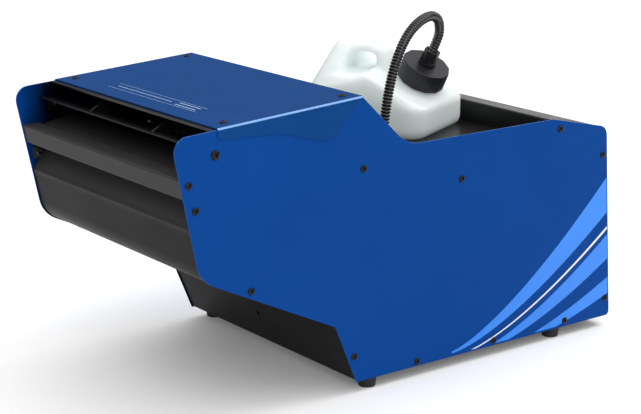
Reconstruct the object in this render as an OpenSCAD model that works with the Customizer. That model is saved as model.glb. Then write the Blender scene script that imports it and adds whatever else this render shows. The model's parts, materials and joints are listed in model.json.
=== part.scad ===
// Fog machine with a front louvred outlet, two fans, a heater and a fluid bottle in a rear tray.
// +X is the right side, -Y the front outlet, +Y the rear, z = 0 the floor.

/* [Housing] */
// Width over the two side panels
body_w = 300; // [290:1:320]
// Thickness of the side panels and the folded sheets
sheet = 1.5; // [1.2:0.1:1.6]
// Thickness of the top cover
cover_t = 1.2; // [1:0.1:1.3]
// Height of the tank tray's floor
tray_z = 219; // [216:1:222]

/* [Fans] */
// Width of one square fan frame
fan_size = 119; // [116:1:119]
// Depth of a fan frame
fan_depth = 38; // [34:1:38]
// Distance from the middle of the machine to a fan's axis
fan_x = 66; // [66:1:70]
// Height of the fan axes
fan_z = 185; // [180:1:190]
// Blades on each rotor
fan_blades = 7; // [5:1:9]

/* [Bottle] */
// Turn of the bottle in its tray, in degrees
bottle_yaw = 25.5; // [20:0.5:30]
// Radius of the bottle cap
cap_r = 26.5; // [25:0.5:27]
// Outer diameter of the pickup hose
hose_d = 10.5; // [9:0.5:10.5]

/* [Hidden] */
$fn = 48;

blue = [0.02, 0.27, 0.59];
cover_blue = [0.1, 0.28, 0.58];
black = [0.08, 0.08, 0.09];
dark_grey = [0.22, 0.22, 0.22];
zinc = [0.7, 0.71, 0.72];

fit = 0.1;                          // radial clearance of a running or push fit
inner_x = body_w / 2 - sheet;       // inner face of a side panel
inner_w = 2 * inner_x;
pan_z = 12;                         // underside of the base pan
pan_top = pan_z + sheet;

// Side panel outline: [y, z, corner radius]
front_top = [-282, 285, 14];
apex = [-67, 298.2, 0];
rear_top = [266.5, 226, 12];
rear_bottom = [282, 11.5, 5];
side_outline = [
    front_top, apex, [-11, 244, 40], [186, 244, 8], rear_top, rear_bottom,
    [-72.6, 11.5, 1], [-98.8, 74, 2], [-254, 149, 32]
];
top_slope = atan2(apex[1] - front_top[1], apex[0] - front_top[0]);
rear_lean = atan2(rear_bottom[0] - rear_top[0], rear_top[1] - rear_bottom[1]);

function panel_top(y) = front_top[1] + (y - front_top[0]) * tan(top_slope);
function rear_edge(z) = rear_bottom[0] - (z - rear_bottom[1]) * tan(rear_lean);

// Top cover
cover_lift = 0.1;                   // gap between the panels' edge and the cover
cover_front = -233;
flap_t = 1.1;
cover_x = body_w / 2 + cover_lift + flap_t;

// Screws through each side panel: [y, z, head radius]
small_head = 3.8;
large_head = 4.8;
panel_screws = [
    [-235.6, 265.2, large_head], [-264.6, 240.7, small_head], [-257.8, 216.3, small_head],
    [-198, 129.7, small_head], [-75.7, 38.9, small_head], [5.3, 16.5, small_head],
    [110, 16.8, small_head], [213.4, 18, small_head], [274.5, 32, small_head],
    [261.9, 195.6, small_head], [196.9, 232.4, small_head], [60.7, 199.1, small_head],
    [-65.4, 227.9, small_head]
];
screw_r = 2;
screw_hole_r = screw_r + fit;
screw_len = 8;
cover_screw_x = 136;
cover_screw_y = [-217, -81];

// Feet
foot_x = 138;
foot_y = [-50, 204];
foot_r = 10;

// Outlet
blade_x = 58;                       // gusset ribs on the upper louvre

// Fans
fan_front = -139.5;
bulkhead_y = fan_front + fan_depth;
fan_bore_r = 56.5;
hub_r = 20;
shaft_r = 2.5;
fan_hole = 52.5;
guard_t = 2;

// Heater
heater_z = 150;
heater_y = [-50, 105];
heater_half = 30;
jacket_t = 8;
nozzle_r = 4;

// Pump
pump_x = -95;
pump_z = 37;
pump_bore_r = 5;
pump_y = [122, 158];

// Bottle, in its own axes: u along it, w across it, origin on the tray floor
bottle_at = [-22.8, 100.5];
bottle_wall = 2;
bottle_u = 50;
bottle_w = 41;
bottle_corner = 20;
shoulder_tilt = 24.9;
neck_tilt = 28;
neck_turn = -20;
neck_at = [39.5, 4, 53.4];
neck_r = 19.5;
neck_h = 11;
cap_h = 21;
cap_gap = 0.4;
gland_r = 6.5;
tube_r = 3;

// Pickup hose, from the cap fitting over to the tray floor
hose_r = hose_d / 2;
hose_route = [
    [22.8, 122.2, 294.5], [26.5, 122.6, 301.5], [30.2, 123.2, 308.8], [33.7, 124.4, 316.8],
    [37, 124.8, 325.2], [40.2, 122.4, 333.8], [44.2, 117, 341.2], [49.4, 108.2, 346.2],
    [54.8, 97, 348.8], [59.6, 83.6, 347.6], [63.4, 69.8, 342.6], [66.8, 57.2, 334.6],
    [70.2, 46.2, 323.8], [73.4, 37, 311.2], [76.6, 29.2, 297.9], [80, 22.6, 285],
    [83.2, 17, 272.2], [86, 12.4, 258.2], [87.6, 8.8, 244], [88, 7.2, 230], [88, 7, 214]
];
inner_hose_r = 4;
inner_hose_route = [
    [88, 7, 214], [88, 7, 200], [88, 2, 180], [85, -10, 158], [78, -24, 134], [68, -40, 110],
    [54, -53, 88], [36, -63, 68], [16, -68, 52], [-6, -69, 42], [-26, -65, 36], [-40, -54, 32],
    [-49, -37, 30], [-52, -14, 30], [-53, 10, 31], [-57, 32, 32], [-66, 52, 34], [-79, 68, 36],
    [-91, 79, 37], [-95, 92, 37]
];
outlet_route = [
    [-95, 176, 37], [-95, 186, 38], [-94, 195, 44], [-90, 201, 54], [-82, 203, 68],
    [-70, 203, 84], [-54, 202, 102], [-36, 199, 120], [-18, 193, 133], [-2, 182, 139],
    [9, 168, 140], [14, 152, 140], [15, 134, 140], [15, 118, 140], [15, 92, 140]
];
grommet_at = [88, 7];

// Rear controls: [x, height up the rear wall]
inlet_at = [-100, 50];
fuse_at = [-55, 50];
switch_at = [-100, 105];
bezel_at = [25, 135];
data_in_at = [45, 60];
data_out_at = [95, 60];
bezel_size = [124, 56];
bezel_t = 2.5;
display_size = [62, 24];
display_at = [0, 10];
button_r = 4;
button_x = [-36, -12, 12, 36];
button_row = -16;
rocker_tilt = 8;

// ---- outlines, sheets and tubes -------------------------------------------------------------

function unit(v) = v / norm(v);
function reverse(list) = [for (i = [len(list) - 1:-1:0]) list[i]];
function flat(lists) = [for (l = lists) for (p = l) p];
function wrap(a) = a > 180 ? a - 360 : a < -180 ? a + 360 : a;

// Points of the arc of radius r that rounds the corner c between p and n
function arc(centre, from, sweep, r, steps) =
    [for (i = [0:steps]) centre + r * [cos(from + sweep * i / steps), sin(from + sweep * i / steps)]];
function corner(p, c, n, r, steps = 6) =
    r == 0 ? [c] :
    let (
        a = unit(p - c),
        b = unit(n - c),
        half = acos(a * b) / 2,
        centre = c + unit(a + b) * r / sin(half),
        first = c + a * r / tan(half) - centre,
        last = c + b * r / tan(half) - centre,
        from = atan2(first[1], first[0])
    )
    arc(centre, from, wrap(atan2(last[1], last[0]) - from), r, steps);

function xy(p) = [p[0], p[1]];
function rounded(pts) = let (n = len(pts)) flat([
    for (i = [0:n - 1]) corner(xy(pts[(i + n - 1) % n]), xy(pts[i]), xy(pts[(i + 1) % n]), pts[i][2])
]);
function bent(pts) = let (n = len(pts)) flat([
    for (i = [0:n - 1])
        i == 0 || i == n - 1 ? [xy(pts[i])] : corner(xy(pts[i - 1]), xy(pts[i]), xy(pts[i + 1]), pts[i][2])
]);

// A path moved sideways by t, to the left of its direction
function left(a, b) = unit([a[1] - b[1], b[0] - a[0]]);
function beside(path, t) = let (n = len(path)) [
    for (i = [0:n - 1])
        let (
            before = left(path[max(i - 1, 0)], path[max(i, 1)]),
            after = left(path[min(i, n - 2)], path[min(i + 1, n - 1)])
        )
        path[i] + t * (before + after) / (1 + before * after)
];

// Extrudes a (y, z) outline along X from x0
module along_x(x0, w) {
    translate([x0, 0, 0]) rotate([90, 0, 90]) linear_extrude(w) children();
}

// A folded sheet across the machine, from a (y, z) path; t > 0 thickens it to the path's left
module folded(pts, t) {
    path = bent(pts);
    along_x(-inner_x, inner_w) polygon(concat(path, reverse(beside(path, t))));
}

// A pair of side tabs, one against each side panel, with a screw hole
module tabs(y, z, screw) {
    for (side = [-1, 1])
        difference() {
            translate([side > 0 ? inner_x - sheet : -inner_x, y[0], z[0]])
                cube([sheet, y[1] - y[0], z[1] - z[0]]);
            translate([side * inner_x, screw[0], screw[1]])
                rotate([0, 90, 0]) cylinder(h = 4 * sheet, r = screw_hole_r, center = true);
        }
}

module box(size, at) {
    translate(at) cube(size, center = true);
}

// A round bar from a to b along Y
module bar_y(r, x, y, z) {
    translate([x, y[0], z]) rotate([-90, 0, 0]) cylinder(h = y[1] - y[0], r = r);
}

// A tube swept along a route; ref is a direction that the route never follows
module swept(route, r, ref, sides = 10) {
    n = len(route);
    rings = [
        for (i = [0:n - 1])
            let (
                t = unit(route[min(i + 1, n - 1)] - route[max(i - 1, 0)]),
                a = unit(cross(t, ref)),
                b = cross(t, a)
            )
            for (k = [0:sides - 1])
                route[i] + r * (a * cos(360 * k / sides) + b * sin(360 * k / sides))
    ];
    walls = [
        for (i = [0:n - 2])
            for (k = [0:sides - 1])
                let (j = (k + 1) % sides)
                for (half = [0, 1])
                    half == 0
                        ? [i * sides + k, i * sides + j, (i + 1) * sides + j]
                        : [i * sides + k, (i + 1) * sides + j, (i + 1) * sides + k]
    ];
    first = [for (k = [sides - 1:-1:0]) k];
    last = [for (k = [0:sides - 1]) (n - 1) * sides + k];
    polyhedron(points = rings, faces = concat(walls, [first, last]), convexity = 6);
}

// A button-head screw with a hex socket: head on top of z = 0, shank below
module button_screw(head_r, length, shank_r = screw_r) {
    head_h = head_r * 0.58;
    socket_r = head_r * 0.36;
    difference() {
        rotate_extrude()
            polygon(concat(
                [[0, head_h]],
                [for (a = [75:-15:15]) [head_r * cos(a), head_h * sin(a)]],
                [[head_r, 0], [shank_r, 0], [shank_r, -length], [0, -length]]
            ));
        translate([0, 0, head_h * 0.4]) cylinder(h = head_h, r = socket_r, $fn = 6);
    }
}

// ---- housing --------------------------------------------------------------------------------

module side_panel(side) {
    color(blue) difference() {
        along_x(side > 0 ? inner_x : -inner_x - sheet, sheet) polygon(rounded(side_outline));
        for (s = panel_screws)
            translate([side * inner_x, s[0], s[1]])
                rotate([0, 90, 0]) cylinder(h = 4 * sheet, r = screw_hole_r, center = true);
    }
}

// The sheet's cross-section, folded down over both side panels, cut to the flaps' outline
module top_cover() {
    flap_h = 50;
    length = 260;
    section = concat(
        rounded([
            [-cover_x, -flap_h, 0], [-cover_x, 0, 2.2], [cover_x, 0, 2.2], [cover_x, -flap_h, 0],
            [cover_x - flap_t, -flap_h, 0], [cover_x - flap_t, -cover_t, 0],
            [flap_t - cover_x, -cover_t, 0], [flap_t - cover_x, -flap_h, 0]
        ])
    );
    flap = [
        [cover_front, 310, 0], [cover_front, 278.6, 4], [-165, 276.5, 60], [-106, 260, 14],
        [apex[0] + 1, 300.5, 0], [apex[0] + 1, 310, 0]
    ];
    color(cover_blue) difference() {
        intersection() {
            translate([0, apex[0], cover_z(apex[0])]) rotate([90 + top_slope, 0, 0])
                translate([0, 0, -length / 4]) linear_extrude(length) polygon(section);
            along_x(-body_w, 2 * body_w) polygon(rounded(flap));
        }
        at_cover_screws() cylinder(h = 6 * sheet, r = screw_hole_r, center = true);
    }
}

function cover_z(y) = panel_top(y) + cover_lift + cover_t;

module at_cover_screws() {
    for (x = [-cover_screw_x, cover_screw_x])
        for (y = cover_screw_y)
            translate([x, y, cover_z(y)]) rotate([top_slope, 0, 0]) children();
}

module top_inner_plate() {
    under = 0.2;
    color(black) difference() {
        folded([[-238, panel_top(-238) - under, 0], [-69, panel_top(-69) - under, 0]], -sheet);
        at_cover_screws() cylinder(h = 8 * sheet, r = screw_hole_r, center = true);
    }
}

module upper_louvre() {
    color(black) {
        folded([[-253, 274, 0], [-216, 265, 0]], -sheet);
        for (x = [-blade_x, blade_x])
            along_x(x - sheet / 2, sheet) polygon([[-246, 271.5], [-226, 284], [-219, 265]]);
        tabs([-243, -228], [258, 268], panel_screws[0]);
    }
}

module middle_louvre() {
    color(dark_grey) {
        folded([[-255, 247, 0], [-273.2, 247, 2], [-269.2, 227.5, 2], [-263, 227.5, 0]], sheet);
        tabs([-270, -258], [235, 246.5], panel_screws[1]);
    }
}

module inner_deflector() {
    color(dark_grey) folded([[-249, 245, 0], [-214, 252, 2], [-208, 240, 0]], -sheet);
}

module lower_front_panel() {
    color(dark_grey) {
        folded([[-240, 229, 0], [-263.3, 199, 3], [-252.8, 149.8, 31], [-99.2, 75.3, 0]], sheet);
        tabs([-263, -251], [210, 222], panel_screws[2]);
        tabs([-206, -190], [126.6, 137], panel_screws[3]);
    }
}

module base_pan() {
    color(dark_grey) difference() {
        union() {
            folded([[-97.6, 74, 0], [-71.6, pan_z, 3], [276, pan_z, 0]], sheet);
            tabs([-79.5, -68], [31, 46], panel_screws[4]);
            for (s = [panel_screws[5], panel_screws[6], panel_screws[7]])
                tabs([s[0] - 8, s[0] + 8], [pan_z + sheet / 2, 25], s);
        }
        at_feet() cylinder(h = 4 * pan_z, r = screw_hole_r);
        // air slots under the electronics
        for (i = [0:6])
            box([60, 4, 4 * sheet], [95, 40 + 16 * i, pan_z]);
        // screw seat in the front leg plate
        translate([0, -86.5, 47]) rotate([67, 0, 0]) cylinder(h = 20, r = screw_hole_r, center = true);
    }
}

module rear_panel() {
    inset = 1;
    color(black) difference() {
        union() {
            folded([
                [rear_edge(13.7) - inset, 13.7, 0], [rear_top[0] - inset, rear_top[1] - inset, 4],
                [188, 242.6, 2], [188, tray_z + fit, 0]
            ], sheet);
            tabs([267, 278.6], [25, 39], panel_screws[8]);
            tabs([254, 266.6], [189, 203], panel_screws[9]);
            tabs([190, 204], [225, 238], panel_screws[10]);
        }
        on_rear(inlet_at) box([28.4, 20, 20.4], [0, 0, 0]);
        on_rear(fuse_at) bar_y(6.2, 0, [-10, 10], 0);
        on_rear(switch_at) box([18.4, 20, 26.4], [0, 0, 0]);
        on_rear(bezel_at) box([bezel_size[0] - 16, 20, bezel_size[1] - 10], [0, 0, 0]);
        for (at = [data_in_at, data_out_at])
            on_rear(at) bar_y(11.2, 0, [-10, 10], 0);
        // vent slots
        for (i = [0:5])
            on_rear([-95 + 14 * i, 165]) box([5, 20, 32], [0, 0, 0]);
    }
}

// Places things on the rear panel's outer face: +Y outward, +Z up the wall
module on_rear(at) {
    z = rear_bottom[1] + at[1] * cos(rear_lean);
    translate([at[0], rear_edge(z) - 1, z]) rotate([rear_lean, 0, 0]) children();
}

module tank_tray() {
    under = 0.2 + sheet + fit;
    color(black) difference() {
        union() {
            folded([
                [-85, panel_top(-85) - under, 0], [-66.5, panel_top(-66.5) - under, 2],
                [-58, tray_z, 3], [263.5, tray_z, 0]
            ], -sheet);
            tabs([-73, -59.8], [221, 235], panel_screws[12]);
            tabs([52, 69], [192, tray_z - sheet / 2], panel_screws[11]);
        }
        translate([grommet_at[0], grommet_at[1], tray_z]) cylinder(h = 10, r = 6.5, center = true);
        at_cover_screws() cylinder(h = 8 * sheet, r = screw_hole_r, center = true);
    }
}

module fan_bulkhead() {
    z = [78.5, 293.5];
    color(black) difference() {
        translate([-inner_x, bulkhead_y, z[0]]) cube([inner_w, sheet, z[1] - z[0]]);
        for (x = [-fan_x, fan_x]) {
            bar_y(fan_bore_r, x, [bulkhead_y - 5, bulkhead_y + 5], fan_z);
            at_fan_holes(x) bar_y(screw_hole_r, 0, [bulkhead_y - 5, bulkhead_y + 5], 0);
        }
        bar_y(nozzle_r + 1, 0, [bulkhead_y - 5, bulkhead_y + 5], heater_z);
    }
}

module at_feet() {
    for (x = [-foot_x, foot_x])
        for (y = foot_y)
            translate([x, y, 0]) children();
}

module rubber_feet() {
    recess = 5;
    color(black) at_feet() difference() {
        cylinder(h = pan_z, r1 = foot_r - 1.5, r2 = foot_r);
        translate([0, 0, -1]) cylinder(h = recess + 1, r = 5);
        cylinder(h = 2 * pan_z, r = screw_hole_r);
    }
}

module foot_screws() {
    color(zinc) at_feet() {
        translate([0, 0, 2.5]) cylinder(h = 2.5, r = 4);
        translate([0, 0, 4]) cylinder(h = 13, r = screw_r);
    }
}

module side_screws(side) {
    color(black)
        for (s = panel_screws)
            translate([side * body_w / 2, s[0], s[1]])
                rotate([0, side * 90, 0]) button_screw(s[2], screw_len);
}

module panel_nuts() {
    nut_h = 3.2;
    nut_r = 3.2;
    color(zinc)
        for (side = [-1, 1])
            for (s = panel_screws)
                translate([side * (inner_x - sheet - nut_h / 2), s[0], s[1]])
                    rotate([30, 0, 0]) rotate([0, 90, 0]) difference() {
                        cylinder(h = nut_h, r = nut_r, center = true, $fn = 6);
                        cylinder(h = 2 * nut_h, r = screw_hole_r, center = true, $fn = 24);
                    }
}

module cover_screws() {
    color(black) at_cover_screws() button_screw(small_head, 7);
}

// ---- fluid bottle and hose ------------------------------------------------------------------

module in_bottle() {
    translate([bottle_at[0], bottle_at[1], tray_z]) rotate([0, 0, bottle_yaw]) children();
}

module on_neck() {
    in_bottle() translate(neck_at) rotate([0, neck_tilt, neck_turn]) children();
}

// A disc at one body corner, lying in the shoulder's plane where it is tilted
module corner_disc(u, w, z, r, tilt = 0) {
    translate([u, w, z]) rotate([0, tilt, 0]) cylinder(h = 1.5, r = r, center = true, $fn = 32);
}

// The bottle's lower body, moved in by t
module bottle_body(t) {
    shoulder = 1.2 + t;
    hull()
        for (side = [-1, 1]) {
            w = side * bottle_w;
            for (u = [-bottle_u, bottle_u]) {
                corner_disc(u, w, 0.75 + t, bottle_corner - 4 - t);
                corner_disc(u, w, 6, bottle_corner - t);
            }
            corner_disc(bottle_u, w, 33, bottle_corner - t);
            corner_disc(bottle_u, w, 44 - shoulder, bottle_corner - 3 - t, shoulder_tilt);
            corner_disc(12, w, 61.5 - shoulder, bottle_corner - 3 - t, shoulder_tilt);
            corner_disc(-bottle_u, w, 50 - t, bottle_corner - t);
            corner_disc(-bottle_u, w, 58 - t, bottle_corner - 8 - t);
        }
}

module fluid_bottle() {
    knob_r = 12;
    color([0.93, 0.96, 0.96]) difference() {
        union() {
            in_bottle() {
                bottle_body(0);
                // handle arch
                hull()
                    for (side = [-1, 1])
                        for (p = [[-44, 14, 81], [-50, 26, 54], [-2, 5, 77], [6, 5, 58]])
                            translate([p[0], side * p[1], p[2]]) sphere(r = knob_r, $fn = 32);
            }
            on_neck() {
                translate([0, 0, -10]) cylinder(h = 9.5, r1 = 30, r2 = 24);
                translate([0, 0, -4]) cylinder(h = neck_h + 4, r = neck_r);
            }
        }
        in_bottle() bottle_body(bottle_wall);
        on_neck() translate([0, 0, -14]) cylinder(h = 46, r = neck_r - bottle_wall);
        // finger hole
        in_bottle() box([32, 120, 15], [-20, 0, 74.5]);
    }
}

module bottle_cap() {
    top_t = 3;
    color(black) on_neck() difference() {
        translate([0, 0, cap_gap]) cylinder(h = cap_h, r = cap_r, $fn = 12);
        translate([0, 0, -1]) cylinder(h = cap_h + cap_gap - top_t + 1, r = neck_r + cap_gap);
        cylinder(h = 2 * cap_h, r = gland_r + fit);
    }
}

// Gland held in the cap, with two lugs that grip the hose
module hose_fitting() {
    flange_z = cap_h + 2 * cap_gap;
    color(black) on_neck() difference() {
        union() {
            translate([0, 0, 14]) cylinder(h = 12, r = gland_r);
            translate([0, 0, flange_z]) cylinder(h = 4, r = 9.5);
            translate([0, 0, flange_z + 4]) cylinder(h = 13, r = 8.5, $fn = 8);
            for (side = [-1, 1])
                box([6, 5, 9], [0, side * 8.5, flange_z + 10]);
        }
        translate([0, 0, 12]) cylinder(h = 8, r = tube_r + fit);
        translate([0, 0, flange_z + 2.7]) cylinder(h = 20, r = hose_r + 0.35);
    }
}

module pickup_tube() {
    color([0.85, 0.87, 0.87]) on_neck() translate([0, 0, -40]) difference() {
        cylinder(h = 59, r = tube_r);
        translate([0, 0, -1]) cylinder(h = 62, r = tube_r - 1);
    }
}

module pickup_filter() {
    color(zinc) on_neck() translate([0, 0, -47]) difference() {
        cylinder(h = 10, r = 6);
        translate([0, 0, 7]) cylinder(h = 10, r = tube_r + fit);
    }
}

module feed_hose() {
    color(black) swept(hose_route, hose_r, [0.9, 0.45, 0], 12);
}

module hose_grommet() {
    color(black) translate([grommet_at[0], grommet_at[1], tray_z]) rotate_extrude()
        polygon([
            [hose_r + 0.3, 2.5], [8, 2.5], [9, 1.5], [9, 0], [6.4, 0], [6.4, -sheet], [9, -sheet],
            [9, -sheet - 2], [hose_r + 0.3, -sheet - 2]
        ]);
}

module pump_inlet_hose() {
    color(black) swept(inner_hose_route, inner_hose_r, [1, 1, 0.2]);
}

// ---- pump and heater ------------------------------------------------------------------------

module pump_body() {
    coil = [43, 36, 34];
    color([0.85, 0.8, 0.65]) difference() {
        union() {
            box(coil, [pump_x, 140, pump_z]);
            bar_y(9, pump_x, [102, 174], pump_z);
            bar_y(3.5, pump_x, [92, 176], pump_z);
        }
        bar_y(pump_bore_r, pump_x, [106, 170], pump_z);
        bar_y(1.5, pump_x, [91, 177], pump_z);
    }
}

module pump_plunger() {
    color(zinc) bar_y(pump_bore_r - fit, pump_x, pump_y, pump_z);
}

module pump_bracket() {
    half = 21.5;
    color(zinc) {
        box([2 * half + 20, 36, sheet], [pump_x, 140, pan_top + sheet / 2]);
        for (side = [-1, 1])
            translate([pump_x + side * (half + sheet / 2) - sheet / 2, 122, pan_top])
                cube([sheet, 36, 40]);
    }
}

module pump_outlet_tube() {
    color([0.72, 0.45, 0.2]) swept(outlet_route, 2.5, [0.2, 0.2, 1], 8);
}

module heater_block() {
    size = 2 * heater_half;
    middle = (heater_y[0] + heater_y[1]) / 2;
    color([0.6, 0.61, 0.62]) difference() {
        box([size, heater_y[1] - heater_y[0], size], [0, middle, heater_z]);
        bar_y(nozzle_r + fit, 0, [heater_y[0] - 1, heater_y[0] + 20], heater_z);
        bar_y(3, 15, [90, heater_y[1] + 1], 140);
        for (side = [-1, 1])
            for (i = [0:7])
                box([6, 3, 2 * size], [side * heater_half, heater_y[0] + 22 + 16 * i, heater_z]);
    }
}

module heater_jacket() {
    inner = 2 * heater_half + 0.4;
    outer = inner + 2 * jacket_t;
    length = heater_y[1] - heater_y[0] + 2 * jacket_t;
    middle = heater_y[0] - jacket_t + length / 2;
    color([0.75, 0.76, 0.78]) difference() {
        box([outer, length, outer], [0, middle, heater_z]);
        box([inner, length, inner], [0, middle + jacket_t - 0.2, heater_z]);
        bar_y(nozzle_r + 1, 0, [heater_y[0] - 20, heater_y[0] + 1], heater_z);
    }
}

module heater_brackets() {
    leg_x = 40;
    top = heater_z - heater_half - jacket_t - 0.2;
    color(zinc)
        for (y = [-30, 85]) {
            box([2 * leg_x, 20, sheet], [0, y, top - sheet / 2]);
            for (side = [-1, 1])
                translate([side * (leg_x - sheet / 2) - sheet / 2, y - 10, pan_top])
                    cube([sheet, 20, top - pan_top]);
        }
}

module fog_nozzle() {
    tip = -205;
    color([0.75, 0.6, 0.3]) difference() {
        union() {
            bar_y(nozzle_r, 0, [tip, heater_y[0] + 18], heater_z);
            bar_y(6, 0, [tip, tip + 12], heater_z);
        }
        bar_y(1.5, 0, [tip - 1, heater_y[0] + 20], heater_z);
    }
}

module thermostat() {
    color(zinc) {
        bar_y(8, -12, [heater_y[1], heater_y[1] + 6], 162);
        for (x = [-15, -9])
            box([2, 6, 4], [x, heater_y[1] + 9, 162]);
    }
}

// ---- fans -----------------------------------------------------------------------------------

module at_fan_holes(x) {
    for (dx = [-fan_hole, fan_hole])
        for (dz = [-fan_hole, fan_hole])
            translate([x + dx, 0, fan_z + dz]) children();
}

module fan_frame(x) {
    spider = 5;
    recess = 0.5;
    back = fan_front + fan_depth;
    color(black) difference() {
        union() {
            difference() {
                box([fan_size, fan_depth, fan_size], [x, fan_front + fan_depth / 2, fan_z]);
                bar_y(fan_bore_r, x, [fan_front - 1, back + 1], fan_z);
            }
            bar_y(hub_r, x, [back - spider, back - recess], fan_z);
            for (a = [0:90:270])
                translate([x, back - spider + recess, fan_z]) rotate([0, a + 30, 0])
                    translate([hub_r - 2, 0, -2.5])
                        cube([fan_bore_r - hub_r + 3.5, spider - 3 * recess, 5]);
        }
        bar_y(shaft_r + fit / 2, x, [back - 2 * spider, back + 1], fan_z);
        at_fan_holes(x) bar_y(screw_hole_r, 0, [fan_front - 1, back + 1], 0);
    }
}

module fan_rotor(x) {
    pitch = 50;
    tip_r = 55;
    color(dark_grey) translate([x, 0, fan_z]) {
        bar_y(hub_r, 0, [fan_front + 3, bulkhead_y - 6], 0);
        bar_y(shaft_r, 0, [bulkhead_y - 7, bulkhead_y - 1], 0);
        intersection() {
            for (i = [0:fan_blades - 1])
                translate([0, fan_front + 16, 0]) rotate([0, 360 * i / fan_blades, 0])
                    translate([(hub_r + tip_r) / 2, 0, 0]) rotate([pitch, 0, 0])
                        cube([tip_r - hub_r + 6, 2, 26], center = true);
            bar_y(tip_r, 0, [fan_front, bulkhead_y], 0);
        }
    }
}

// Flat stamped guards: rings joined by two diagonal bars, with an eyelet at each fan screw
module fan_guards() {
    bar_len = 141;
    y = [fan_front - guard_t, fan_front];
    color(zinc)
        for (x = [-fan_x, fan_x]) {
            for (r = [22, 34, 46, 57])
                difference() {
                    bar_y(r + guard_t / 2, x, y, fan_z);
                    bar_y(r - guard_t / 2, x, [y[0] - 1, y[1] + 1], fan_z);
                }
            for (a = [45, 135])
                translate([x, fan_front - guard_t / 2, fan_z]) rotate([0, a, 0])
                    cube([guard_t, guard_t, bar_len], center = true);
            at_fan_holes(x) difference() {
                bar_y(2 * screw_r, 0, y, 0);
                bar_y(screw_hole_r, 0, [y[0] - 1, y[1] + 1], 0);
            }
        }
}

module fan_screws() {
    color(zinc)
        for (x = [-fan_x, fan_x])
            at_fan_holes(x) translate([0, fan_front - guard_t, 0])
                rotate([90, 0, 0]) button_screw(small_head, fan_depth + 6);
}

// ---- electronics and rear controls ----------------------------------------------------------

module main_board() {
    board = [90, 140, 1.6];
    at = [50, 20, 30];
    top = at[2] + board[2];
    color([0.1, 0.4, 0.2]) difference() {
        translate(at) cube(board);
        at_standoffs() cylinder(h = 100, r = 1.6);
    }
    color(black) {
        translate([60, 110, top]) cube([28, 14, 16]);
        translate([95, 110, top]) cube([28, 14, 16]);
        translate([62, 70, top]) cube([18, 26, 3]);
        for (i = [0:2])
            translate([118, 50 + 22 * i, top]) cylinder(h = 26, r = 8);
    }
    color(zinc) translate([66, 32, top]) cube([40, 12, 30]);
}

module at_standoffs() {
    for (x = [55, 135])
        for (y = [25, 155])
            translate([x, y, 0]) children();
}

module board_standoffs() {
    color(zinc) at_standoffs() {
        translate([0, 0, pan_top]) cylinder(h = 30 - pan_top, r = 3.5, $fn = 6);
        translate([0, 0, 29]) cylinder(h = 4, r = 1.5);
        translate([0, 0, 31.6]) cylinder(h = 2, r = 3);
    }
}

module transformer() {
    core = [60, 50, 50];
    at = [-130, -45, pan_top];
    color(dark_grey) translate(at) cube(core);
    color([0.7, 0.5, 0.2])
        for (x = [-10, core[0]])
            translate(at + [x, 10, 10]) cube([10, 30, 30]);
}

module power_inlet() {
    depth = 24;
    color(black) on_rear(inlet_at) {
        difference() {
            union() {
                box([50, 2, 26], [0, 1, 0]);
                box([28, depth, 20], [0, -depth / 2, 0]);
            }
            box([24, 20, 16], [0, -8, 0]);
        }
        for (x = [-7, 0, 7])
            box([2, 15, 4], [x, -11, 4]);
    }
}

module fuse_holder() {
    color(black) on_rear(fuse_at) difference() {
        union() {
            bar_y(8, 0, [0, 2], 0);
            bar_y(6, 0, [-26, 1], 0);
        }
        bar_y(4.6, 0, [-22, 4], 0);
    }
}

module fuse_cap() {
    color(dark_grey) on_rear(fuse_at) difference() {
        union() {
            bar_y(4.5, 0, [-12, 4], 0);
            bar_y(6, 0, [2.4, 7], 0);
        }
        box([1.4, 3, 9], [0, 7, 0]);
    }
}

module switch_housing() {
    color(black) on_rear(switch_at) difference() {
        union() {
            box([23, 2, 31], [0, 1, 0]);
            box([18, 18, 26], [0, -9, 0]);
        }
        box([13.4, 20, 21.6], [0, -4, 0]);
    }
}

// Rests tilted, with its upper half pressed in
module switch_rocker() {
    r = 10.5;
    color([0.7, 0.05, 0.05]) on_rear(switch_at) rotate([rocker_tilt, 0, 0]) intersection() {
        rotate([0, 90, 0]) cylinder(h = 13, r = r, center = true);
        along_x(-6.5, 13) polygon([[-4, -r], [3.5, -r], [1.8, 0], [3.5, r], [-4, r]]);
    }
}

module control_bezel() {
    color(dark_grey) on_rear(bezel_at) difference() {
        box([bezel_size[0], bezel_t, bezel_size[1]], [0, bezel_t / 2, 0]);
        box([display_size[0], 10, display_size[1]], [display_at[0], 0, display_at[1]]);
        for (x = button_x)
            bar_y(button_r + 0.2, x, [-10, 10], button_row);
    }
}

module control_board() {
    board_y = -10;
    color([0.1, 0.4, 0.2]) on_rear(bezel_at) {
        box([104, 1.6, 42], [0, board_y, 0]);
        for (x = [-49, 49])
            for (z = [-18, 18])
                bar_y(2.5, x, [board_y, 0], z);
    }
}

module display() {
    gap = 0.2;
    color([0.05, 0.12, 0.1]) on_rear(bezel_at)
        box([display_size[0] - gap, 10.8, display_size[1] - gap], [display_at[0], -3.6, display_at[1]]);
}

module button(i) {
    proud = 1.6;
    color(zinc) on_rear(bezel_at) {
        bar_y(button_r, button_x[i], [-6, bezel_t + proud], button_row);
        bar_y(button_r + 1.5, button_x[i], [-3, -1], button_row);
    }
}

module data_socket_shell() {
    box([26, 2, 31], [0, 1, 0]);
    bar_y(11, 0, [-20, 1], 0);
}

module data_in_socket() {
    color(zinc) on_rear(data_in_at) {
        difference() {
            data_socket_shell();
            bar_y(9.4, 0, [-16, 3], 0);
        }
        for (a = [30, 150, 270])
            bar_y(1.2, 5.5 * cos(a), [-17, -2], 5.5 * sin(a));
    }
}

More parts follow.
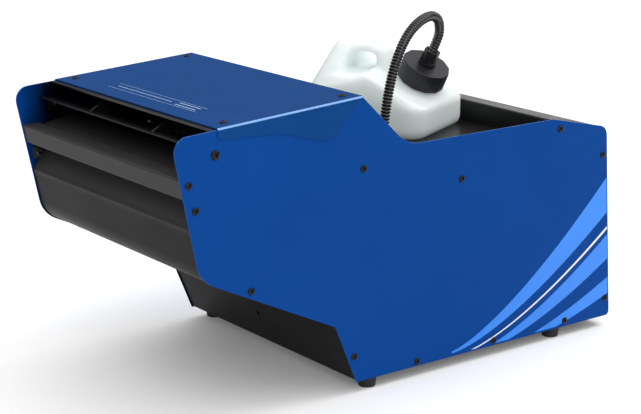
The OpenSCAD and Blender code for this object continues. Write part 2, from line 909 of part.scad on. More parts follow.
module data_out_socket() {
    color(zinc) on_rear(data_out_at) difference() {
        data_socket_shell();
        for (a = [90, 210, 330])
            bar_y(1.4, 5.5 * cos(a), [-14, 3], 5.5 * sin(a));
    }
}

// ---- parts ----------------------------------------------------------------------------------

side_panel(1);  // side_panel_right
side_panel(-1);  // side_panel_left
top_cover();
top_inner_plate();
upper_louvre();
middle_louvre();
inner_deflector();
lower_front_panel();
base_pan();
rear_panel();
tank_tray();
fan_bulkhead();
rubber_feet();
foot_screws();
side_screws(1);  // panel_screws_right
side_screws(-1);  // panel_screws_left
panel_nuts();
cover_screws();
fluid_bottle();
bottle_cap();
hose_fitting();
pickup_tube();
pickup_filter();
feed_hose();
hose_grommet();
pump_inlet_hose();
pump_body();
pump_plunger();
pump_bracket();
pump_outlet_tube();
heater_block();
heater_jacket();
heater_brackets();
fog_nozzle();
thermostat();
fan_frame(-fan_x);  // fan_frame_left
fan_frame(fan_x);  // fan_frame_right
fan_rotor(-fan_x);  // fan_rotor_left
fan_rotor(fan_x);  // fan_rotor_right
fan_guards();
fan_screws();
main_board();
board_standoffs();
transformer();
power_inlet();
fuse_holder();
fuse_cap();
switch_housing();
switch_rocker();
control_bezel();
control_board();
display();
button(0);  // button_1
button(1);  // button_2
button(2);  // button_3
button(3);  // button_4
data_in_socket();
data_out_socket();
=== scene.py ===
"""Fog machine: materials, bottle, hose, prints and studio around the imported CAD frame.

Metres, +X the right-hand side panel, -Y the fog outlet, +Z up, z = 0 the floor.
"""
import json
import math

import bmesh
import bpy
from mathutils import Matrix, Vector


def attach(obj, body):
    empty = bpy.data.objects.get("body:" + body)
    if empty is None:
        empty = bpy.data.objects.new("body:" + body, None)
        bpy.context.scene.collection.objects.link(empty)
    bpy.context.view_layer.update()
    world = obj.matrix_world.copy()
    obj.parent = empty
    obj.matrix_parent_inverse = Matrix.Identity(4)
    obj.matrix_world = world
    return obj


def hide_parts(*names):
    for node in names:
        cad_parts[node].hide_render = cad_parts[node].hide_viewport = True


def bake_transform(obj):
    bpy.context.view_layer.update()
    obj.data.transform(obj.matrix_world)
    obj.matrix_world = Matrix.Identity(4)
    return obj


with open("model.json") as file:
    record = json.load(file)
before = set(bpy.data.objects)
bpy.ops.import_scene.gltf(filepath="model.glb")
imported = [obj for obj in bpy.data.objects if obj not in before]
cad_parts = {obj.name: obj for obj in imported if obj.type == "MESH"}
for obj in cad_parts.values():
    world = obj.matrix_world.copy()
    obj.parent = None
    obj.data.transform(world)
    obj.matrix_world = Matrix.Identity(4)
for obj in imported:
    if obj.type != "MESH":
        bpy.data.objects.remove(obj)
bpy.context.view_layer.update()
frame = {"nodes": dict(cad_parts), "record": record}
NODES = frame["nodes"]
SLOT_OF = {part["node"]: part["material_slot"] for part in frame["record"]["subparts"]}
MM = 0.001


# ---- camera -------------------------------------------------------------------------------------

CAMERA_AT = Vector((1.4307, -1.0806, 0.6249))
CAMERA_AZIMUTH = math.radians(53.05)
CAMERA_ELEVATION = math.radians(14.91)
CAMERA_LENS = 98.28
SENSOR_WIDTH = 36


def make_camera():
    azimuth, elevation = CAMERA_AZIMUTH, CAMERA_ELEVATION
    back = Vector((math.sin(azimuth) * math.cos(elevation),
                   -math.cos(azimuth) * math.cos(elevation),
                   math.sin(elevation)))
    right = Vector((math.cos(azimuth), math.sin(azimuth), 0))
    up = back.cross(right)
    data = bpy.data.cameras.new("camera")
    data.lens = CAMERA_LENS
    data.sensor_width = SENSOR_WIDTH
    camera = bpy.data.objects.new("camera", data)
    bpy.context.scene.collection.objects.link(camera)
    turn = Matrix((right, up, back)).transposed().to_4x4()
    camera.matrix_world = Matrix.Translation(CAMERA_AT) @ turn
    bpy.context.scene.camera = camera


make_camera()


# ---- meshes -------------------------------------------------------------------------------------

MERGE_DISTANCE = 1e-6
FLAT_ANGLE = math.radians(0.5)      # faces that lie flatter than this become one before bevelling
BEVEL_ANGLE = math.radians(30)
EDGED_SHARP_ANGLE = math.radians(40)
CAD_SHARP_ANGLE = math.radians(35)


def add_object(name, mesh):
    obj = bpy.data.objects.new(name, mesh)
    bpy.context.scene.collection.objects.link(obj)
    return obj


def object_from_faces(name, verts, faces):
    mesh = bpy.data.meshes.new(name)
    mesh.from_pydata([tuple(v) for v in verts], [], faces)
    mesh.validate()
    mesh.update()
    return add_object(name, mesh)


def object_from_bmesh(name, bm):
    mesh = bpy.data.meshes.new(name)
    bm.to_mesh(mesh)
    bm.free()
    return add_object(name, mesh)


def apply_modifiers(obj):
    graph = bpy.context.evaluated_depsgraph_get()
    mesh = bpy.data.meshes.new_from_object(obj.evaluated_get(graph))
    obj.modifiers.clear()
    obj.data = mesh


def sharp_by_angle(obj, angle):
    """Smooth shading that breaks at edges sharper than the angle."""
    obj.data.shade_smooth()
    obj.data.set_sharp_from_angle(angle=angle)


def dress(obj, look, body):
    """The object gets the look and rides on the body."""
    obj.data.materials.clear()
    obj.data.materials.append(LOOKS[look])
    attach(obj, body)


def edged(node, width, body="housing", segments=2):
    """The CAD node's shape with its sharp edges rounded, as a folded or moulded part's are."""
    bm = bmesh.new()
    bm.from_mesh(NODES[node].data)
    bmesh.ops.remove_doubles(bm, verts=bm.verts, dist=MERGE_DISTANCE)
    bmesh.ops.dissolve_limit(bm, angle_limit=FLAT_ANGLE, verts=bm.verts, edges=bm.edges)
    obj = object_from_bmesh(node + "_edged", bm)
    bevel = obj.modifiers.new("edges", "BEVEL")
    bevel.width = width
    bevel.segments = segments
    bevel.limit_method = "ANGLE"
    bevel.angle_limit = BEVEL_ANGLE
    apply_modifiers(obj)
    sharp_by_angle(obj, EDGED_SHARP_ANGLE)
    even = obj.modifiers.new("even_faces", "WEIGHTED_NORMAL")
    even.keep_sharp = True
    apply_modifiers(obj)
    dress(obj, SLOT_OF[node], body)
    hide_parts(node)
    return obj


def catmull_rom(points, parts=24):
    """A smooth curve through the points, with the given number of parts between each two."""
    knots = [Vector(p) for p in points]
    knots = [2 * knots[0] - knots[1]] + knots + [2 * knots[-1] - knots[-2]]
    curve = []
    for i in range(1, len(knots) - 2):
        p0, p1, p2, p3 = knots[i - 1:i + 3]
        for k in range(parts):
            t = k / parts
            curve.append(0.5 * (2 * p1 + (p2 - p0) * t
                                + (2 * p0 - 5 * p1 + 4 * p2 - p3) * t * t
                                + (3 * p1 - p0 - 3 * p2 + p3) * t ** 3))
    curve.append(knots[-2])
    return curve


def even_steps(curve, step):
    """The curve resampled at even steps, and its length."""
    lengths = [0.0]
    for a, b in zip(curve, curve[1:]):
        lengths.append(lengths[-1] + (b - a).length)
    total = lengths[-1]
    count = max(2, round(total / step))
    out = []
    j = 0
    for i in range(count + 1):
        along = total * i / count
        while j < len(curve) - 2 and lengths[j + 1] < along:
            j += 1
        share = (along - lengths[j]) / (lengths[j + 1] - lengths[j])
        out.append(curve[j].lerp(curve[j + 1], share))
    return out, total


def tube(name, path, radius_at, sides):
    """A closed tube along the path, its radius given for each ring, with no twist."""
    last = len(path) - 1
    verts, faces = [], []
    tangents = [(path[min(i + 1, last)] - path[max(i - 1, 0)]).normalized()
                for i in range(len(path))]
    normal = tangents[0].orthogonal().normalized()
    for i, (centre, tangent) in enumerate(zip(path, tangents)):
        normal = (normal - tangent * normal.dot(tangent)).normalized()
        across = tangent.cross(normal)
        for k in range(sides):
            a = 2 * math.pi * k / sides
            verts.append(centre + radius_at(i) * (math.cos(a) * normal + math.sin(a) * across))
    for i in range(last):
        near, far = i * sides, (i + 1) * sides
        for k in range(sides):
            j = (k + 1) % sides
            faces.append((near + k, near + j, far + j, far + k))
    faces.append(tuple(reversed(range(sides))))
    faces.append(tuple(last * sides + k for k in range(sides)))
    obj = object_from_faces(name, verts, faces)
    obj.data.shade_smooth()
    return obj


# ---- materials ----------------------------------------------------------------------------------

LOOKS = {}
NOISE_LOW, NOISE_HIGH = 0.3, 0.7    # most of a noise texture's values lie between these


def linear(value):
    """Linear light from a 0-255 display value."""
    value /= 255
    return value / 12.92 if value <= 0.04045 else ((value + 0.055) / 1.055) ** 2.4


class Look:
    """A Principled material whose colour, roughness and relief come from procedural nodes."""

    def __init__(self, name, colour, roughness, metallic=0.0, coat=0.0, specular=0.5):
        self.material = bpy.data.materials.new(name)
        self.material.use_nodes = True
        self.tree = self.material.node_tree
        self.shader = self.tree.nodes["Principled BSDF"]
        self.colour = tuple(linear(c) for c in colour)
        self.roughness = roughness
        self.coordinates = None
        self.relief = None
        self.set("Base Color", (*self.colour, 1))
        self.set("Roughness", roughness)
        self.set("Metallic", metallic)
        self.set("Specular IOR Level", specular)
        self.set("Coat Weight", coat)
        LOOKS[name] = self.material

    def set(self, name, value):
        self.shader.inputs[name].default_value = value
        return self

    def node(self, kind, **values):
        made = self.tree.nodes.new(kind)
        for name, value in values.items():
            if name in made.inputs:
                made.inputs[name].default_value = value
            else:
                setattr(made, name, value)
        return made

    def link(self, a, b):
        self.tree.links.new(a, b)

    def place(self):
        if self.coordinates is None:
            self.coordinates = self.node("ShaderNodeTexCoord").outputs["Object"]
        return self.coordinates

    def axis(self, name):
        split = self.node("ShaderNodeSeparateXYZ")
        self.link(self.place(), split.inputs["Vector"])
        return split.outputs[name]

    def noise(self, scale, detail, stretch):
        mapping = self.node("ShaderNodeMapping")
        mapping.inputs["Scale"].default_value = stretch
        self.link(self.place(), mapping.inputs["Vector"])
        made = self.node("ShaderNodeTexNoise", Scale=scale, Detail=detail)
        self.link(mapping.outputs["Vector"], made.inputs["Vector"])
        return made.outputs["Fac"]

    def ramp(self, source, low, high, to_low, to_high):
        made = self.node("ShaderNodeMapRange")
        limits = {"From Min": low, "From Max": high, "To Min": to_low, "To Max": to_high}
        for name, value in limits.items():
            made.inputs[name].default_value = value
        self.link(source, made.inputs["Value"])
        return made.outputs["Result"]

    def mottle(self, scale, amount):
        """Uneven colour: the base colour lightened and darkened by the amount."""
        darker = [c * (1 - amount) for c in self.colour]
        lighter = [min(1, c * (1 + amount) + amount * 0.01) for c in self.colour]
        mix = self.node("ShaderNodeMix", data_type="RGBA")
        mix.inputs["A"].default_value = (*darker, 1)
        mix.inputs["B"].default_value = (*lighter, 1)
        noise = self.noise(scale, 4, (1, 1, 1))
        self.link(self.ramp(noise, NOISE_LOW, NOISE_HIGH, 0, 1), mix.inputs["Factor"])
        self.link(mix.outputs["Result"], self.shader.inputs["Base Color"])
        return self

    def uneven_gloss(self, scale, spread, stretch=(1, 1, 1)):
        """Roughness that wanders by the spread to both sides."""
        noise = self.noise(scale, 5, stretch)
        least, most = self.roughness - spread, self.roughness + spread
        self.link(self.ramp(noise, NOISE_LOW, NOISE_HIGH, least, most),
                  self.shader.inputs["Roughness"])
        return self

    def grain(self, scale, height, strength=0.5, stretch=(1, 1, 1), detail=2):
        """Fine relief of that height in metres, on top of any relief so far."""
        bump = self.node("ShaderNodeBump", Strength=strength, Distance=height)
        self.link(self.noise(scale, detail, stretch), bump.inputs["Height"])
        if self.relief is not None:
            self.link(self.relief, bump.inputs["Normal"])
        self.relief = bump.outputs["Normal"]
        self.link(self.relief, self.shader.inputs["Normal"])
        return self

    def painted(self):
        """What gives the base colour so far."""
        return self.shader.inputs["Base Color"].links[0].from_socket

    def painted_shade_inside(self, inner_x, front_y, deep_y, colour):
        """Painted shade: faces nearer the middle than inner_x go over to the colour between the
        two depths, as if in shadow inside the housing.
        """
        painted = self.painted()
        distance = self.node("ShaderNodeMath", operation="ABSOLUTE")
        self.link(self.axis("X"), distance.inputs[0])
        inner = self.node("ShaderNodeMath", operation="LESS_THAN")
        inner.inputs[1].default_value = inner_x
        self.link(distance.outputs["Value"], inner.inputs[0])
        both = self.node("ShaderNodeMath", operation="MULTIPLY")
        self.link(inner.outputs["Value"], both.inputs[0])
        self.link(self.ramp(self.axis("Y"), front_y, deep_y, 0, 1), both.inputs[1])
        mix = self.node("ShaderNodeMix", data_type="RGBA")
        mix.inputs["B"].default_value = (*[linear(c) for c in colour], 1)
        self.link(both.outputs["Value"], mix.inputs["Factor"])
        self.link(painted, mix.inputs["A"])
        self.link(mix.outputs["Result"], self.shader.inputs["Base Color"])

    def shade_painted_below(self, low, high, share):
        """Painted shade: the colour falls to a share of itself from the one height down to the
        other.
        """
        scale = self.node("ShaderNodeVectorMath", operation="SCALE")
        self.link(self.painted(), scale.inputs[0])
        self.link(self.ramp(self.axis("Z"), low, high, share, 1), scale.inputs["Scale"])
        self.link(scale.outputs["Vector"], self.shader.inputs["Base Color"])


def powder_coat(name, colour, roughness, specular):
    """Baked powder paint: faint mottling, fine orange peel and slightly uneven gloss."""
    look = Look(name, colour, roughness, specular=specular)
    look.mottle(9, 0.05).uneven_gloss(26, 0.035)
    look.grain(420, 0.00012, 0.22, detail=1).grain(1900, 0.00004, 0.3)
    return look


def surface(name, colour, roughness, mottle, gloss, grain=None, **options):
    """A plain material from its mottling, uneven gloss and, where it has one, its grain."""
    look = Look(name, colour, roughness, **options)
    look.mottle(*mottle).uneven_gloss(*gloss)
    if grain:
        look.grain(*grain)
    return look


def sheet_looks():
    panel = powder_coat("panel_blue", (0, 65, 141), 0.34, 0.05)
    # painted shade: the side panels' inner faces turn near black towards the back, where the
    # inside of the housing lies in shadow
    panel.painted_shade_inside(0.1489, -0.28, -0.245, (6, 8, 24))
    powder_coat("cover_blue", (6, 63, 125), 0.5, 0.05)
    powder_coat("chassis_black", (20, 20, 21), 0.3, 0.25)
    louvre = powder_coat("louvre_grey", (54, 53, 53), 0.4, 0.07)
    # painted shade: below about 0.2 m this grey falls to 0.12 of its colour, where the faces turn
    # down away from the light
    louvre.shade_painted_below(0.192, 0.203, 0.12)
    # bent edges, where the blue paint is thin and catches the light
    # painted highlight: the bent edges that face upwards get a lighter, glossier blue in place of
    # the light they catch
    surface("painted_highlight_blue", (120, 168, 226), 0.2, (60, 0.05), (90, 0.05), (900, 0.00003, 0.2),
            specular=0.6)


def metal_looks():
    surface("black_steel", (34, 33, 34), 0.3, (900, 0.3), (1500, 0.08), (2600, 0.00003, 0.3),
            metallic=0.8)
    surface("zinc_steel", (190, 192, 196), 0.3, (300, 0.12), (700, 0.08), (1500, 0.00002, 0.3),
            metallic=1.0)
    surface("socket_nickel", (188, 188, 190), 0.24, (200, 0.06), (900, 0.06, (1, 1, 6)),
            metallic=1.0)
    surface("brass", (205, 165, 85), 0.3, (150, 0.1), (400, 0.08, (1, 8, 1)),
            (900, 0.00002, 0.3), metallic=1.0)
    surface("copper", (200, 120, 75), 0.3, (90, 0.2), (300, 0.1), (900, 0.00002, 0.3),
            metallic=1.0)
    surface("cast_alloy", (165, 166, 168), 0.5, (120, 0.15), (300, 0.08), (500, 0.0002, 0.5),
            metallic=0.9)
    surface("jacket_foil", (200, 202, 205), 0.3, (60, 0.1), (160, 0.1), (90, 0.0015, 0.6),
            metallic=0.9)
    surface("core_steel", (70, 68, 66), 0.45, (100, 0.2), (200, 0.08),
            (900, 0.0002, 0.6, (12, 1, 1)), metallic=0.6)


def plastic_looks():
    surface("rubber_black", (24, 24, 25), 0.75, (300, 0.2), (500, 0.06), (1400, 0.00008, 0.5))
    surface("hose_black", (6, 6, 7), 0.16, (500, 0.2), (700, 0.08), (1600, 0.00003, 0.3),
            specular=0.8)
    surface("cap_black", (34, 34, 38), 0.4, (260, 0.12), (500, 0.06), (1900, 0.00005, 0.45),
            specular=0.3)
    surface("socket_black", (22, 22, 23), 0.3, (200, 0.1), (400, 0.05), (1800, 0.00003, 0.3))
    surface("bezel_black", (40, 40, 42), 0.55, (160, 0.1), (500, 0.06), (2200, 0.00008, 0.6))
    surface("fan_black", (26, 26, 27), 0.5, (120, 0.12), (300, 0.06), (1200, 0.00006, 0.4))
    surface("rocker_red", (190, 22, 20), 0.28, (150, 0.08), (300, 0.05), (1500, 0.00002, 0.3))
    surface("display_dark", (20, 34, 30), 0.08, (60, 0.15), (200, 0.02), (300, 0.00001, 0.2),
            coat=0.6)
    surface("button_grey", (150, 150, 154), 0.5, (300, 0.06), (600, 0.06), (2500, 0.00004, 0.4))
    surface("board_green", (20, 90, 50), 0.32, (240, 0.25), (300, 0.06), (700, 0.00005, 0.3),
            coat=0.3)
    surface("coil_cream", (214, 200, 150), 0.55, (120, 0.1), (200, 0.06),
            (400, 0.0002, 0.4, (1, 10, 1)))
    clear = surface("clear_plastic", (225, 230, 230), 0.2, (90, 0.04), (300, 0.05))
    clear.set("Transmission Weight", 0.6)


def bottle_look():
    """Natural polyethylene: milky, with a soft waxy gloss and faint moulding ripples."""
    look = Look("bottle_white", (226, 234, 233), 0.34, specular=0.45)
    look.set("Subsurface Weight", 0.75)
    look.set("Subsurface Radius", (1.0, 1.0, 1.0))
    look.set("Subsurface Scale", 0.03)
    # a faint glow: painted light that brightens the bottle's shaded lower faces
    look.set("Emission Color", (0.9, 1.0, 0.98, 1))
    look.set("Emission Strength", 0.06)
    look.set("IOR", 1.5)
    look.mottle(14, 0.025).uneven_gloss(40, 0.05)
    look.grain(30, 0.0009, 0.25).grain(1300, 0.00005, 0.35)


def print_looks():
    surface("azure_print", (14, 128, 236), 0.36, (12, 0.05), (30, 0.03), (420, 0.0001, 0.2),
            coat=0.15)
    surface("pale_print", (150, 175, 215), 0.45, (60, 0.03), (90, 0.04), (900, 0.00003, 0.2))
    surface("white_print", (226, 232, 240), 0.4, (60, 0.03), (90, 0.04), (900, 0.00003, 0.2))


def floor_look():
    """Paper that glows a little, so that it stays white away from the lights."""
    look = Look("floor", (252, 252, 252), 0.7)
    look.mottle(2, 0.01)
    look.set("Emission Color", (1, 1, 1, 1))
    look.set("Emission Strength", 0.1)


sheet_looks()
metal_looks()
plastic_looks()
bottle_look()
print_looks()
floor_look()


# ---- pickup hose --------------------------------------------------------------------------------

HOSE_D = 0.0105
HOSE_PITCH = 0.0034
GROOVE_DEPTH = 0.0017
RIB_SHAPE = (0.0, 0.0, 0.8, 1.0, 1.0, 0.8)  # one groove and one rib, from 0 deep to 1 at full size
HOSE_SIDES = 22
# the same route as in the CAD source, from the tray floor up and over to the cap's fitting
HOSE_ROUTE = [
    (88, 7, 214), (88, 7.2, 230), (87.6, 8.8, 244), (86, 12.4, 258.2), (83.2, 17, 272.2),
    (80, 22.6, 285), (76.6, 29.2, 297.9), (73.4, 37, 311.2), (70.2, 46.2, 323.8),
    (66.8, 57.2, 334.6), (63.4, 69.8, 342.6), (59.6, 83.6, 347.6), (54.8, 97, 348.8),
    (49.4, 108.2, 346.2), (44.2, 117, 341.2), (40.2, 122.4, 333.8), (37, 124.8, 325.2),
    (33.7, 124.4, 316.8), (30.2, 123.2, 308.8), (26.5, 122.6, 301.5), (22.8, 122.2, 294.5),
]


def make_hose():
    """Corrugated conduit: rounded ribs with narrow grooves between them."""
    per_rib = len(RIB_SHAPE)
    route = [Vector(p) * MM for p in HOSE_ROUTE]
    path, length = even_steps(catmull_rom(route), HOSE_PITCH / per_rib)

    def radius(i):
        return HOSE_D / 2 - GROOVE_DEPTH * (1 - RIB_SHAPE[i % per_rib])

    hose = tube("corrugated_hose", path, radius, HOSE_SIDES)
    hose.data.materials.append(LOOKS["hose_black"])
    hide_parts("feed_hose")
    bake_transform(hose)


make_hose()


# ---- fluid bottle -------------------------------------------------------------------------------
# Bottle axes in millimetres: u from the handle to the cap, w across, z up from its underside.

BOTTLE_AT = Vector((-0.0228, 0.1005, 0.219))
BOTTLE_YAW = math.radians(25.5)
BOTTLE_TURN = Matrix.Translation(BOTTLE_AT) @ Matrix.Rotation(BOTTLE_YAW, 4, "Z")
CORNER_R = 20
HALF_U, HALF_W = 50, 41             # centres of the upright corners
FRONT_TOP, BACK_TOP = 33, 46        # heights where the sides turn inwards
SHOULDER_TILT = math.radians(24.9)
HANDLE_R = 11
FINGER_HOLE_R = 5
NECK_TURN, NECK_TILT = math.radians(-20), math.radians(28)
NECK_BASE = Vector((39.5, 4, 53.4)) * MM
NECK_LOCAL = (Matrix.Translation(NECK_BASE) @ Matrix.Rotation(NECK_TURN, 4, "Z")
              @ Matrix.Rotation(NECK_TILT, 4, "Y"))
COLLAR = ((-12, 33), (-0.5, 24))    # the neck's two stages along its axis: (height, radius)
NECK = ((-6, 19.5), (11, 19.5))
SKIN_VOXEL = 0.0016
SOFTEN_ROUNDS = 14


def hull_of(name, points):
    bm = bmesh.new()
    for p in points:
        bm.verts.new(p)
    bmesh.ops.convex_hull(bm, input=bm.verts)
    loose = [v for v in bm.verts if not v.link_faces]
    bmesh.ops.delete(bm, geom=loose, context="VERTS")
    bmesh.ops.recalc_face_normals(bm, faces=bm.faces)
    return object_from_bmesh(name, bm)


def ring(u, w, z, r, tilt=0.0, count=28):
    """Points of a level circle, or of one that is tilted down towards the cap."""
    out = []
    for k in range(count):
        a = 2 * math.pi * k / count
        x, y = r * math.cos(a), r * math.sin(a)
        out.append(Vector((u + x * math.cos(tilt), w + y, z - x * math.sin(tilt))) * MM)
    return out


def upright_ring(u, w, z, r, count=12):
    """Points of a circle whose axis goes across the bottle."""
    out = []
    for k in range(count):
        a = 2 * math.pi * k / count
        out.append(Vector((u + r * math.cos(a), w, z + r * math.sin(a))) * MM)
    return out


def ball(u, w, z, r):
    out = []
    for latitude in range(-75, 90, 25):
        a = math.radians(latitude)
        out += ring(u, w, z + r * math.sin(a), r * math.cos(a), count=20)
    return out


def both_sides(make, u, w, *rest):
    return make(u, w, *rest) + make(u, -w, *rest)


def boolean(obj, other, operation):
    step = obj.modifiers.new(operation, "BOOLEAN")
    step.operation = operation
    step.object = other
    step.solver = "EXACT"
    apply_modifiers(obj)
    bpy.data.objects.remove(other)


def body_points():
    """The can with a rounded foot, upright corners and a shoulder that slopes to the cap."""
    points = []
    for u in (-HALF_U, HALF_U):
        points += both_sides(ring, u, HALF_W, 0, CORNER_R - 7)
        points += both_sides(ring, u, HALF_W, 2.5, CORNER_R - 2)
        points += both_sides(ring, u, HALF_W, 8, CORNER_R)
    points += both_sides(ring, HALF_U, HALF_W, FRONT_TOP, CORNER_R)
    points += both_sides(ring, HALF_U - 2, HALF_W - 1, 43.4, CORNER_R - 4, SHOULDER_TILT)
    points += both_sides(ring, 12, HALF_W - 1, 60.7, CORNER_R - 4, SHOULDER_TILT)
    points += both_sides(ring, -HALF_U, HALF_W, BACK_TOP, CORNER_R)
    points += both_sides(ring, -HALF_U + 5, HALF_W - 5, 60, CORNER_R - 8)
    return points


def hip_points():
    """The raised back end that carries the handle."""
    points = both_sides(ring, -HALF_U, HALF_W, BACK_TOP, CORNER_R - 1)
    points += both_sides(ring, -HALF_U + 9, HALF_W - 9, 58, CORNER_R - 4)
    return points + both_sides(ball, -44, 10, 81, 13)


def handle_points():
    """The arch from the hip over the finger hole and down to the shoulder."""
    return (both_sides(ball, -44, 5, 83, HANDLE_R) + both_sides(ball, -4, 5, 79, HANDLE_R)
            + both_sides(ball, 6, 7, 56, HANDLE_R))


def scoop_points(side):
    """The hollow beside the handle, wider towards the top and the outside."""
    return (ring(-19, side * 38, 61, 15) + ring(-19, side * 40, 96, 25)
            + ring(-17, side * 22, 63, 8) + ring(-17, side * 23, 96, 12))


def finger_hole_points():
    points = []
    for w in (-60, 60):
        for u, z in ((-30, 68), (-9, 68), (-30, 77), (-9, 76)):
            points += upright_ring(u, w, z, FINGER_HOLE_R)
    return points


def neck_points(stage):
    return [NECK_LOCAL @ p for height, r in stage for p in ring(0, 0, height, r, count=40)]


def make_bottle():
    """Blow-moulded can: the pieces joined, cut, skinned over and softened."""
    bottle = hull_of("fluid_can", body_points())
    boolean(bottle, hull_of("hip", hip_points()), "UNION")
    boolean(bottle, hull_of("handle", handle_points()), "UNION")
    for side in (-1, 1):
        boolean(bottle, hull_of("scoop", scoop_points(side)), "DIFFERENCE")
    boolean(bottle, hull_of("finger_hole", finger_hole_points()), "DIFFERENCE")
    for stage in (COLLAR, NECK):
        boolean(bottle, hull_of("neck", neck_points(stage)), "UNION")
    skin = bottle.modifiers.new("skin", "REMESH")
    skin.mode = "VOXEL"
    skin.voxel_size = SKIN_VOXEL
    soften = bottle.modifiers.new("soften", "SMOOTH")
    soften.factor = 0.5
    soften.iterations = SOFTEN_ROUNDS
    apply_modifiers(bottle)
    bottle.data.shade_smooth()
    bottle.data.transform(BOTTLE_TURN)
    dress(bottle, "bottle_white", "bottle")
    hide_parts("fluid_bottle")


make_bottle()


# ---- sheet metal and other CAD parts ------------------------------------------------------------

LARGEST_EDGE_FACE = 0.0005          # square metres: anything larger is a face, not an edge


def paint_edge_highlights(obj):
    """Gives the rounded edges that face upwards the lighter blue of a painted highlight."""
    obj.data.materials.append(LOOKS["painted_highlight_blue"])
    for face in obj.data.polygons:
        upward = face.normal.z > 0.2
        oblique = 0.2 < abs(face.normal.x) < 0.98
        if upward and oblique and face.area < LARGEST_EDGE_FACE:
            face.material_index = 1


def make_edged_parts():
    paint_edge_highlights(edged("side_panel_right", 0.0004))
    paint_edge_highlights(edged("side_panel_left", 0.0004))
    paint_edge_highlights(edged("top_cover", 0.0005))
    for node in ("top_inner_plate", "upper_louvre", "middle_louvre", "inner_deflector",
                 "lower_front_panel", "base_pan", "rear_panel", "tank_tray"):
        edged(node, 0.0003)
    edged("bottle_cap", 0.0011, "bottle_cap", segments=3)
    edged("hose_fitting", 0.0005, "bottle")
    edged("rubber_feet", 0.0008)
    for node in ("control_bezel", "power_inlet", "switch_housing"):
        edged(node, 0.0006)
    edged("switch_rocker", 0.0004, "switch_rocker")
    edged("fuse_cap", 0.0005, "fuse_cap")
    for i in range(1, 5):
        edged("button_%d" % i, 0.0005, "button_%d" % i)


def dress_cad_nodes():
    for name, obj in NODES.items():
        obj.data.materials.clear()
        obj.data.materials.append(LOOKS[SLOT_OF[name]])
        sharp_by_angle(obj, CAD_SHARP_ANGLE)


make_edged_parts()
dress_cad_nodes()


# ---- prints -------------------------------------------------------------------------------------

PRINT_LIFT = 0.00012
PANEL_X = 0.15                      # outer face of the side panels
PANEL_FOOT = (0, 0, 0.0135)         # prints end above the panels' lower edge
PANEL_BACK = (0, 0.2805, 0.0115)    # and before their back edge, which leans
BACK_LEAN = math.radians(4.1335)
COVER_FRONT_Y, COVER_FRONT_Z = -0.282, 0.285
COVER_RISE = 0.0614                 # the cover's slope, height over length
COVER_TOP = 0.0013                  # its upper face above the panels' upper edge
BAND_STEPS = 60
SLOPE_STEP = 0.01

# name, look, y from, y to, height at the start, rise, power of the sweep, half width, its growth
WAVES = (
    ("wave_high", "azure_print", 0.052, 0.298, 0.016, 0.158, 1.45, 0.001, 0.0165),
    ("wave_middle", "azure_print", 0.088, 0.3, 0.008, 0.1, 1.5, 0.001, 0.0125),
    ("wave_low", "azure_print", 0.126, 0.3, 0.004, 0.052, 1.5, 0.001, 0.009),
    ("wave_line", "white_print", 0.07, 0.3, 0.012, 0.121, 1.48, 0.0006, 0.0009),
)
# name, y from, y to, x from, x to
COVER_LINES = (
    ("cover_line_front", -0.2127, -0.2121, -0.078, 0.083),
    ("cover_line_back", -0.1984, -0.1978, -0.078, 0.083),
    ("cover_line_middle", -0.2058, -0.2046, -0.07, 0.03),
    ("cover_bar_front", -0.2092, -0.2076, 0.04, 0.076),
    ("cover_bar_back", -0.2032, -0.2016, 0.04, 0.076),
)


def cut_plane(obj, at, normal):
    """Removes what lies on the normal's side of the plane."""
    bm = bmesh.new()
    bm.from_mesh(obj.data)
    bmesh.ops.bisect_plane(bm, geom=bm.verts[:] + bm.edges[:] + bm.faces[:], dist=1e-7,
                           plane_co=at, plane_no=normal, clear_outer=True)
    bm.to_mesh(obj.data)
    bm.free()


def make_wave(side, name, look, y_from, y_to, start, rise, power, half_width, growth):
    """A flat swept band printed on a side panel, cut off at the panel's edges."""
    def height(s):
        return start + rise * s ** power

    verts, faces = [], []
    for i in range(BAND_STEPS + 1):
        s = i / BAND_STEPS
        climb = height(s + SLOPE_STEP) - height(max(0, s - SLOPE_STEP))
        slope = climb / (2 * SLOPE_STEP * (y_to - y_from))
        across = Vector((-slope, 1)).normalized() * (half_width + growth * s)
        y = y_from + (y_to - y_from) * s
        for edge in (-1, 1):
            verts.append(Vector((side * (PANEL_X + PRINT_LIFT), y + edge * across.x,
                                 height(s) + edge * across.y)))
    for i in range(BAND_STEPS):
        face = (2 * i, 2 * i + 2, 2 * i + 3, 2 * i + 1)
        faces.append(face if side > 0 else tuple(reversed(face)))
    band = object_from_faces("%s_%d" % (name, side > 0), verts, faces)
    cut_plane(band, PANEL_FOOT, (0, 0, -1))
    cut_plane(band, PANEL_BACK, (0, math.cos(BACK_LEAN), math.sin(BACK_LEAN)))
    dress(band, look, "housing")


def make_cover_line(name, y_from, y_to, x_from, x_to):
    z = COVER_FRONT_Z + (y_from - COVER_FRONT_Y) * COVER_RISE + COVER_TOP + PRINT_LIFT
    turn = Matrix.Rotation(math.atan(COVER_RISE), 4, "X")
    depth = y_to - y_from
    corners = [(x_from, 0, 0), (x_to, 0, 0), (x_to, depth, 0), (x_from, depth, 0)]
    verts = [Vector((0, y_from, z)) + turn @ Vector(corner) for corner in corners]
    dress(object_from_faces(name, verts, [(0, 1, 2, 3)]), "pale_print", "housing")


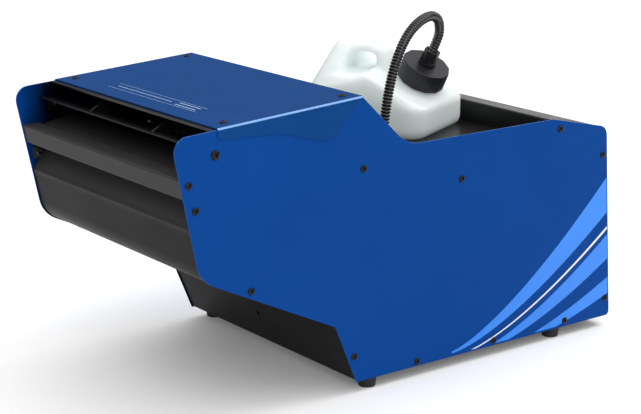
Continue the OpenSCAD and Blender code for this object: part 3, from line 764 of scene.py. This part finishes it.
for panel_side in (-1, 1):
    for wave in WAVES:
        make_wave(panel_side, *wave)
for line in COVER_LINES:
    make_cover_line(*line)


# ---- stage --------------------------------------------------------------------------------------

FLOOR_HALF = 30
# bright overhead and dim towards the horizon, as in a studio with an overhead softbox
HORIZON, ZENITH = 0.3, 0.8          # heights in the sky, from 0 to 1
HORIZON_LIGHT, ZENITH_LIGHT = 0.22, 1.5


def make_floor():
    half = FLOOR_HALF
    corners = [(-half, -half, 0), (half, -half, 0), (half, half, 0), (-half, half, 0)]
    floor = object_from_faces("floor", corners, [(0, 1, 2, 3)])
    floor.data.materials.append(LOOKS["floor"])


def make_world():
    world = bpy.data.worlds.new("studio")
    world.use_nodes = True
    tree = world.node_tree
    background = tree.nodes["Background"]
    background.inputs["Color"].default_value = (1, 1, 1, 1)
    place = tree.nodes.new("ShaderNodeTexCoord")
    split = tree.nodes.new("ShaderNodeSeparateXYZ")
    rise = tree.nodes.new("ShaderNodeMapRange")
    rise.inputs["From Min"].default_value = HORIZON
    rise.inputs["From Max"].default_value = ZENITH
    rise.inputs["To Min"].default_value = HORIZON_LIGHT
    rise.inputs["To Max"].default_value = ZENITH_LIGHT
    tree.links.new(place.outputs["Generated"], split.inputs["Vector"])
    tree.links.new(split.outputs["Z"], rise.inputs["Value"])
    tree.links.new(rise.outputs["Result"], background.inputs["Strength"])
    bpy.context.scene.world = world


def area_light(name, at, look_at, size, power):
    data = bpy.data.lights.new(name, "AREA")
    data.shape = "RECTANGLE"
    data.size, data.size_y = size
    data.energy = power
    light = bpy.data.objects.new(name, data)
    bpy.context.scene.collection.objects.link(light)
    light.location = at
    light.rotation_euler = (Vector(look_at) - Vector(at)).to_track_quat("-Z", "Y").to_euler()


make_floor()
make_world()
area_light("fold_softbox", (0.45, 1.15, 1.45), (0.1, -0.1, 0.28), (0.7, 0.25), 7)
area_light("side_softbox", (2.2, -0.9, 1.0), (0.1, -0.1, 0.15), (0.9, 0.9), 9)

bpy.context.scene.view_settings.view_transform = "Standard"
